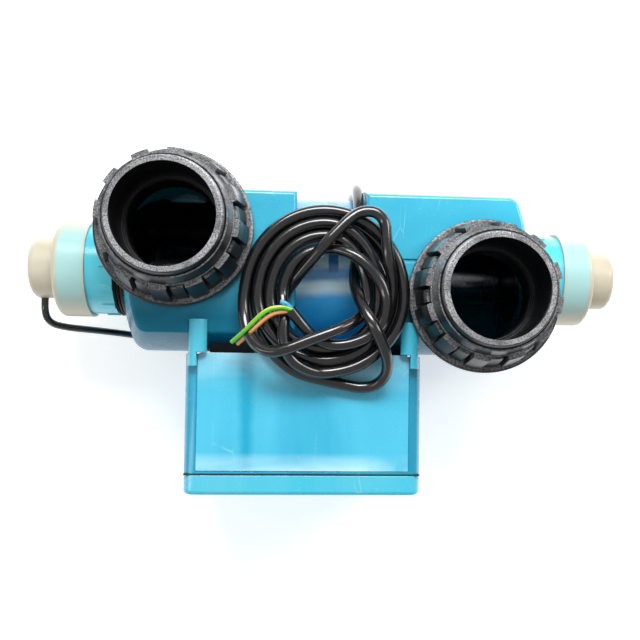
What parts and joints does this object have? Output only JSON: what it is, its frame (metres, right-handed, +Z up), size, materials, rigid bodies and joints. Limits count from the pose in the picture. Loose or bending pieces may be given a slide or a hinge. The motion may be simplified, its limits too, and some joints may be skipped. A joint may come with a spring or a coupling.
{
  "type": "in-line uv water steriliser",
  "caption": "Tube-shaped UV water steriliser lying on its back, with two upright union sockets, rubber end boots, a ballast box along one side and a coiled mains cable.",
  "frame": {"origin": "on the floor the unit lies on, under the middle of the body's bounding box without the mains cord", "axes": "+X along the lamp from the inlet end to the outlet end, +Y from the ballast box towards the lamp chamber, +Z up out of the union sockets"},
  "size_m": [0.4168, 0.224, 0.1755],
  "materials": {
    "teal_housing": "semi-gloss moulded",
    "teal_box": "semi-gloss moulded",
    "panel": "smooth moulded",
    "collar_plastic": "smooth moulded",
    "black_fitting": "satin moulded",
    "black_thread": "satin",
    "black_gland": "satin",
    "seal_rubber": "matte",
    "boot_rubber": "translucent moulded",
    "chamber_pipe": "smooth",
    "label_film": "printed film",
    "quartz": "clear polished",
    "lamp_metal": "satin",
    "holder_plastic": "satin",
    "spacer_plastic": "matte",
    "steel_screw": "plated",
    "choke_iron": "varnished laminations",
    "choke_wire": "enamelled",
    "board": "solder resist",
    "board_parts": "sleeved",
    "board_stands": "matte",
    "cable_sheath": "glossy flexible sheath",
    "core_yellow_green": "smooth",
    "core_brown": "smooth",
    "core_blue": "smooth"
  },
  "bodies": {
    "body": {"ballast_board": "board", "base_lid": "teal_box", "board_capacitors": "board_parts", "board_standoffs": "board_stands", "box_shell": "teal_box", "cable_coil": "cable_sheath", "chamber_seals": "seal_rubber", "chamber_tube": "chamber_pipe", "choke_core": "choke_iron", "choke_winding": "choke_wire", "core_earth": "core_yellow_green", "core_live": "core_brown", "core_neutral": "core_blue", "front_panel": "panel", "inlet_housing": "teal_housing", "inlet_port_base": "black_fitting", "inlet_port_seal_washer": "seal_rubber", "label_wrap": "label_film", "lamp_end_caps": "lamp_metal", "lamp_glass": "quartz", "lamp_lead": "cable_sheath", "lamp_pins": "lamp_metal", "lamp_spacer_rings": "spacer_plastic", "lead_grommet": "black_gland", "left_boot": "boot_rubber", "left_end_spigot": "black_thread", "left_lampholder": "holder_plastic", "left_saddle_post": "teal_box", "lid_gasket": "seal_rubber", "lid_screws": "steel_screw", "mains_cable": "cable_sheath", "mains_gland_body": "black_gland", "mains_gland_locknut_ring": "black_gland", "mains_strain_relief": "cable_sheath", "mounting_plate": "steel_screw", "outlet_housing": "teal_housing", "outlet_port_base": "black_fitting", "outlet_port_seal_washer": "seal_rubber", "quartz_seals": "seal_rubber", "quartz_sleeve": "quartz", "right_end_spigot": "black_thread", "right_lampholder": "holder_plastic", "right_saddle_post": "teal_box", "saddle_pads": "seal_rubber", "saddle_screws": "steel_screw", "terminal_block": "board_stands", "terminal_screws": "steel_screw"},
    "inlet_socket": {"inlet_union_socket": "black_fitting", "inlet_union_o_ring": "seal_rubber"},
    "inlet_nut": {"inlet_union_nut": "black_fitting"},
    "outlet_socket": {"outlet_union_socket": "black_fitting", "outlet_union_o_ring": "seal_rubber"},
    "outlet_nut": {"outlet_union_nut": "black_fitting"},
    "left_collar": {"left_collar": "collar_plastic"},
    "right_collar": {"right_collar": "collar_plastic"},
    "right_boot": {"right_boot": "boot_rubber"},
    "gland_nut": {"mains_gland_nut": "black_gland"}
  },
  "joints": [
    {"name": "inlet_socket_lift", "type": "slide", "parent": "body", "child": "inlet_socket", "axis": [0, 0, 1], "range_m": [0, 0.06]},
    {"name": "inlet_nut_turn", "type": "hinge", "parent": "inlet_socket", "child": "inlet_nut", "pos_m": [-0.1018, 0.061, 0.15], "axis": [0, 0, 1], "continuous": true},
    {"name": "outlet_socket_lift", "type": "slide", "parent": "body", "child": "outlet_socket", "axis": [0, 0, 1], "range_m": [0, 0.06]},
    {"name": "outlet_nut_turn", "type": "hinge", "parent": "outlet_socket", "child": "outlet_nut", "pos_m": [0.1018, 0.021, 0.15], "axis": [0, 0, 1], "continuous": true},
    {"name": "left_collar_turn", "type": "hinge", "parent": "body", "child": "left_collar", "pos_m": [-0.166, 0.041, 0.067], "axis": [1, 0, 0], "continuous": true},
    {"name": "right_collar_turn", "type": "hinge", "parent": "body", "child": "right_collar", "pos_m": [0.166, 0.041, 0.067], "axis": [1, 0, 0], "continuous": true},
    {"name": "right_boot_pull", "type": "slide", "parent": "body", "child": "right_boot", "axis": [1, 0, 0], "range_m": [0, 0.045]},
    {"name": "gland_nut_turn", "type": "hinge", "parent": "body", "child": "gland_nut", "pos_m": [0.008, -0.011, 0.011], "axis": [0, 1, 0], "continuous": true}
  ]
}
